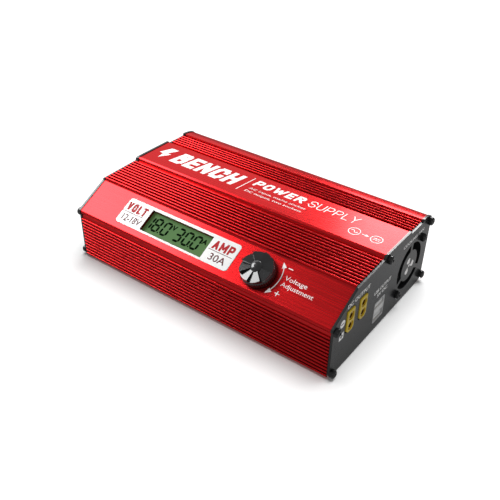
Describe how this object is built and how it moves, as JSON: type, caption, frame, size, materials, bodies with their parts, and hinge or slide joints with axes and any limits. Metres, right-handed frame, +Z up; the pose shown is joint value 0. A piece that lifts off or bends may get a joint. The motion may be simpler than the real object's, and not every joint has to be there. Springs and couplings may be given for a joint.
{
  "type": "adjustable bench power supply",
  "caption": "Adjustable DC bench power supply in a ribbed aluminium case with a sloping display and voltage knob, DC output sockets, USB power port and fan.",
  "frame": {"origin": "midway between the four rubber feet, on the plane they rest on, 60 mm behind the front face", "axes": "+X towards the output end plate, -Y towards the front, +Z up; X is the case length"},
  "size_m": [0.2116, 0.1233, 0.0556],
  "materials": {
    "anodised_red": "satin anodised, brushed grain",
    "plate_black": "fine satin black",
    "base_aluminium": "mill finish",
    "screw_black": "black oxide",
    "rubber_black": "matte",
    "label_white": "printed film",
    "display_green": "reflective LCD, yellow-green",
    "light_guide": "milky",
    "circuit_board": "solder mask",
    "pot_metal": "plated",
    "pot_shaft": "turned",
    "knob_black": "polished black",
    "fan_black": "moulded",
    "bearing_bronze": "sintered",
    "stator_copper": "enamelled wire on laminations",
    "magnet_grey": "bonded ferrite",
    "steel": "bright zinc",
    "socket_yellow": "moulded nylon",
    "gold_contact": "gold plated",
    "usb_steel": "nickel plated",
    "usb_white": "moulded",
    "inlet_black": "moulded",
    "rocker_black": "moulded",
    "insulation_film": "translucent film",
    "capacitor_sleeve": "heat-shrink sleeve",
    "film_capacitor": "moulded box",
    "fuse_glass": "clear",
    "ferrite": "pressed ferrite",
    "enamelled_wire": "enamelled copper",
    "winding_tape": "polyester tape",
    "heatsink_aluminium": "extruded",
    "component_black": "moulded epoxy",
    "copper_bar": "tinned copper",
    "wire_jacket": "PVC",
    "ribbon_grey": "ribbon PVC"
  },
  "bodies": {
    "root": {"upper_shell": "anodised_red", "base_plate": "base_aluminium", "rubber_feet": "rubber_black", "right_end_plate": "plate_black", "left_end_plate": "plate_black", "plate_screws": "screw_black", "display_label": "label_white", "display_glass": "display_green", "display_light_guide": "light_guide", "display_board": "circuit_board", "potentiometer_body": "pot_metal", "potentiometer_washer": "steel", "potentiometer_nut": "steel", "fan_frame": "fan_black", "fan_bearing": "bearing_bronze", "fan_stator": "stator_copper", "fan_screws": "screw_black", "fan_nuts": "steel", "dc_socket_front": "socket_yellow", "dc_socket_rear": "socket_yellow", "dc_contacts": "gold_contact", "output_board": "circuit_board", "usb_shell": "usb_steel", "usb_insulator": "usb_white", "usb_contacts": "gold_contact", "mains_inlet": "inlet_black", "mains_pins": "usb_steel", "inlet_screws": "screw_black", "inlet_nuts": "steel", "switch_body": "inlet_black", "switch_terminals": "steel", "insulation_sheet": "insulation_film", "board_standoffs": "steel", "main_board": "circuit_board", "board_screws": "steel", "fuse": "fuse_glass", "fuse_clips": "steel", "filter_capacitors": "film_capacitor", "filter_choke_core": "ferrite", "filter_choke_coils": "enamelled_wire", "bulk_capacitors": "capacitor_sleeve", "heatsinks": "heatsink_aluminium", "power_transistors": "component_black", "bridge_rectifier": "component_black", "transformer_core": "ferrite", "transformer_winding": "winding_tape", "output_choke_core": "ferrite", "output_choke_coils": "enamelled_wire", "output_capacitors": "capacitor_sleeve", "control_board": "circuit_board", "bus_bars": "copper_bar", "mains_wires": "wire_jacket", "fan_lead": "wire_jacket", "ribbon_cable": "ribbon_grey"},
    "voltage_knob": {"knob": "knob_black", "potentiometer_shaft": "pot_shaft"},
    "fan_wheel": {"fan_rotor": "fan_black", "fan_magnet": "magnet_grey", "fan_shaft": "pot_shaft"},
    "power_rocker": {"switch_rocker": "rocker_black"}
  },
  "joints": [
    {"name": "knob_turn", "type": "hinge", "parent": "root", "child": "voltage_knob", "pos_m": [0.043, -0.04815, 0.04406], "axis": [0, -0.4672, 0.8841], "range_deg": [0, 300]},
    {"name": "fan_spin", "type": "hinge", "parent": "root", "child": "fan_wheel", "pos_m": [0.095, 0.0363, 0.0264], "axis": [1, 0, 0], "continuous": true},
    {"name": "rocker_tilt", "type": "hinge", "parent": "root", "child": "power_rocker", "pos_m": [-0.0976, -0.028, 0.0262], "axis": [0, 1, 0], "range_deg": [-24, 0]}
  ]
}
